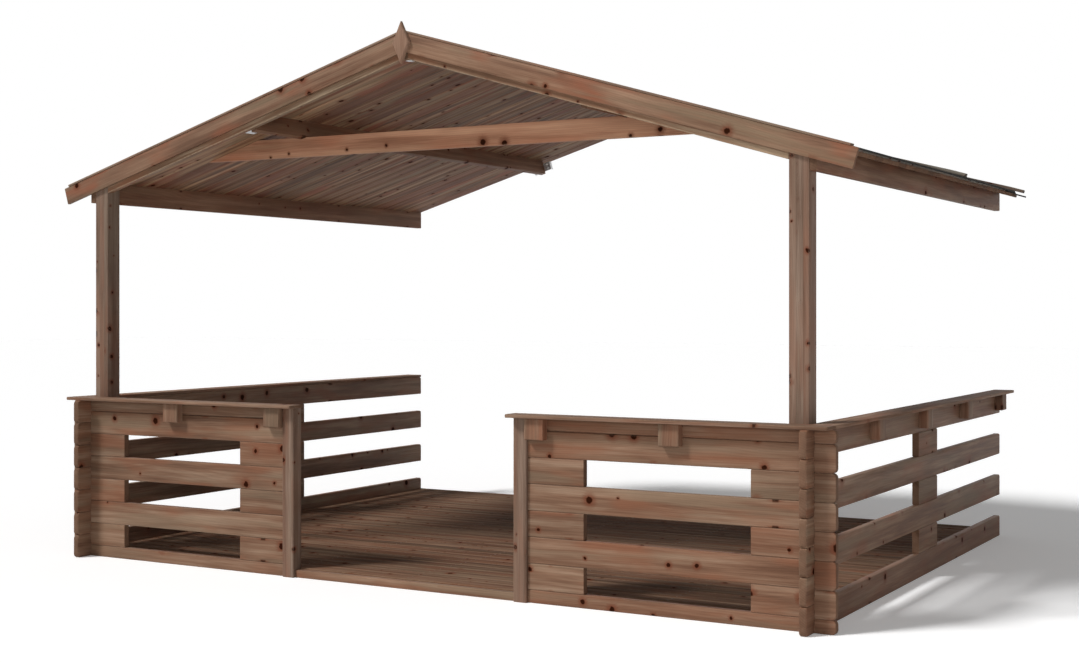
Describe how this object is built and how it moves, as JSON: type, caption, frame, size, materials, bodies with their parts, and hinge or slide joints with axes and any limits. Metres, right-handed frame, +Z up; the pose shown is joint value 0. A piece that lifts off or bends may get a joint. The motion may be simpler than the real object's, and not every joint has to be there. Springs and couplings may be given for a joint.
{
  "type": "garden veranda",
  "caption": "Garden veranda of stacked log walls with an entrance gap in front, an open back, corner posts, handrails and a felted gable roof.",
  "frame": {"origin": "On the ground, in the middle of the veranda's overall width and length.", "axes": "X runs across the entrance with +X on the right of a person who faces the entrance from outside, +Y runs from the entrance front to the open back along the ridge, and +Z is up."},
  "size_m": [4.484, 3.273, 2.7031],
  "materials": {
    "logs": "planed softwood with a thin brown glaze, knots and fine grain",
    "posts": "glued softwood posts with a thin brown glaze",
    "boards": "planed softwood boards, a little darker and more weathered",
    "purlins": "planed softwood with a thin brown glaze",
    "trim": "planed softwood boards with rounded edges and a thin brown glaze",
    "felt": "bitumen roofing felt with fine mineral grit",
    "steel": "bright zinc-plated sheet steel"
  },
  "bodies": {
    "root": {"joists": "boards", "floor_boards": "boards", "threshold": "trim", "front_logs_left": "logs", "front_logs_right": "logs", "front_pieces_left": "logs", "front_pieces_right": "logs", "front_top_log_left": "logs", "front_top_log_right": "logs", "side_rails_left": "logs", "side_rails_right": "logs", "side_pieces_left": "logs", "side_pieces_right": "logs", "entrance_post_left": "posts", "entrance_post_right": "posts", "front_handrail_left": "trim", "front_handrail_right": "trim", "side_handrail_left": "trim", "side_handrail_right": "trim", "front_brackets_left": "logs", "front_brackets_right": "logs", "side_brackets_left": "logs", "side_brackets_right": "logs", "corner_post_left": "posts", "corner_post_right": "posts", "eave_purlin_left": "purlins", "eave_purlin_right": "purlins", "middle_purlin_left": "purlins", "middle_purlin_right": "purlins", "ridge_purlin": "purlins", "tie_beam": "posts", "gable_battens_left": "boards", "gable_battens_right": "boards", "roof_boards_left": "boards", "roof_boards_right": "boards", "roof_felt_left": "felt", "roof_felt_right": "felt", "roof_laths_left": "boards", "roof_laths_right": "boards", "bargeboard_left": "trim", "bargeboard_right": "trim", "cover_strip_left": "trim", "cover_strip_right": "trim", "gable_diamond": "trim", "purlin_plates": "steel"}
  },
  "joints": []
}
